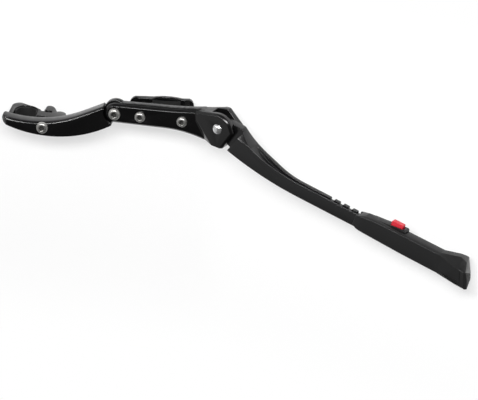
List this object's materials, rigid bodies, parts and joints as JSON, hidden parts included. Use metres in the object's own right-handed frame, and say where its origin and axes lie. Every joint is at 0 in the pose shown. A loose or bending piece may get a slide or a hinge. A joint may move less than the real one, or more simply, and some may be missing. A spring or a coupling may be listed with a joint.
{
  "type": "bicycle kickstand",
  "caption": "Rear-stay bicycle kickstand: bracket with chainstay clamp, swinging arm with hooked seatstay jaw, folding curved leg and sliding foot set by a red button",
  "frame": {"origin": "middle of the chainstay, between the two clamp bolts", "axes": "X along the bracket towards the foot, Y towards the bicycle, Z towards the rear wheel; the sole lies square to X"},
  "size_m": [0.5238, 0.1662, 0.1175],
  "materials": {
    "black_paint": "satin black coat on cast alloy",
    "grey_leg": "satin dark grey coat on forged alloy",
    "bolt_steel": "zinc-plated steel",
    "pin_chrome": "polished plated steel",
    "spring_steel": "drawn spring steel",
    "pad_rubber": "matt black rubber",
    "foot_plastic": "fine-grained dark grey moulding",
    "button_red": "glossy red moulding"
  },
  "bodies": {
    "bracket": {"bracket_body": "black_paint", "chainstay_pad": "pad_rubber", "clamp_bolts": "bolt_steel", "arm_pivot_bolt": "bolt_steel", "arm_pivot_nut": "bolt_steel", "leg_pivot_pin": "pin_chrome", "pivot_washers": "bolt_steel", "latch_spring": "spring_steel"},
    "clamp_plate": {"chainstay_clamp_plate": "black_paint", "clamp_plate_pad": "pad_rubber", "clamp_nuts": "bolt_steel"},
    "arm": {"stay_arm": "black_paint", "arm_pad": "pad_rubber"},
    "hook_bolt": {"seatstay_bolt": "bolt_steel"},
    "hook": {"seatstay_jaw": "black_paint", "seatstay_jaw_pad": "pad_rubber", "seatstay_cap_nut": "black_paint"},
    "leg": {"leg": "grey_leg"},
    "latch": {"latch_plunger": "bolt_steel"},
    "foot": {"foot_sleeve": "foot_plastic", "foot_sole": "pad_rubber", "button_pin": "bolt_steel", "button_spring": "spring_steel"},
    "button": {"foot_button": "button_red"}
  },
  "joints": [
    {"name": "leg_fold", "type": "hinge", "parent": "bracket", "child": "leg", "pos_m": [0.0625, -0.0336, 0.001], "axis": [-0.342, -0.9397, 0], "range_deg": [0, 97]},
    {"name": "latch_travel", "type": "slide", "parent": "bracket", "child": "latch", "axis": [0.9397, -0.342, 0], "range_m": [0, 0.0012], "stiffness_N_per_m": 400, "deforming": ["latch_spring"]},
    {"name": "foot_length", "type": "slide", "parent": "leg", "child": "foot", "axis": [0.9188, -0.3344, -0.2096], "range_m": [-0.0336, 0.0224]},
    {"name": "button_press", "type": "hinge", "parent": "foot", "child": "button", "pos_m": [0.25829, -0.10486, -0.05563], "axis": [-0.342, -0.9397, 0], "range_deg": [-3.5, 4.5], "stiffness_Nm_per_rad": 0.1, "deforming": ["button_spring"]},
    {"name": "arm_swing", "type": "hinge", "parent": "bracket", "child": "arm", "pos_m": [-0.05, -0.0225, 0], "axis": [0, 1, 0], "range_deg": [-30, 30]},
    {"name": "hook_swivel", "type": "hinge", "parent": "arm", "child": "hook_bolt", "pos_m": [-0.127, -0.0225, -0.025], "axis": [0, 1, 0], "range_deg": [-35, 35]},
    {"name": "hook_close", "type": "slide", "parent": "hook_bolt", "child": "hook", "axis": [0, 1, 0], "range_m": [0, 0.006]},
    {"name": "plate_close", "type": "slide", "parent": "bracket", "child": "clamp_plate", "axis": [0, 1, 0], "range_m": [-0.004, 0.007]}
  ]
}
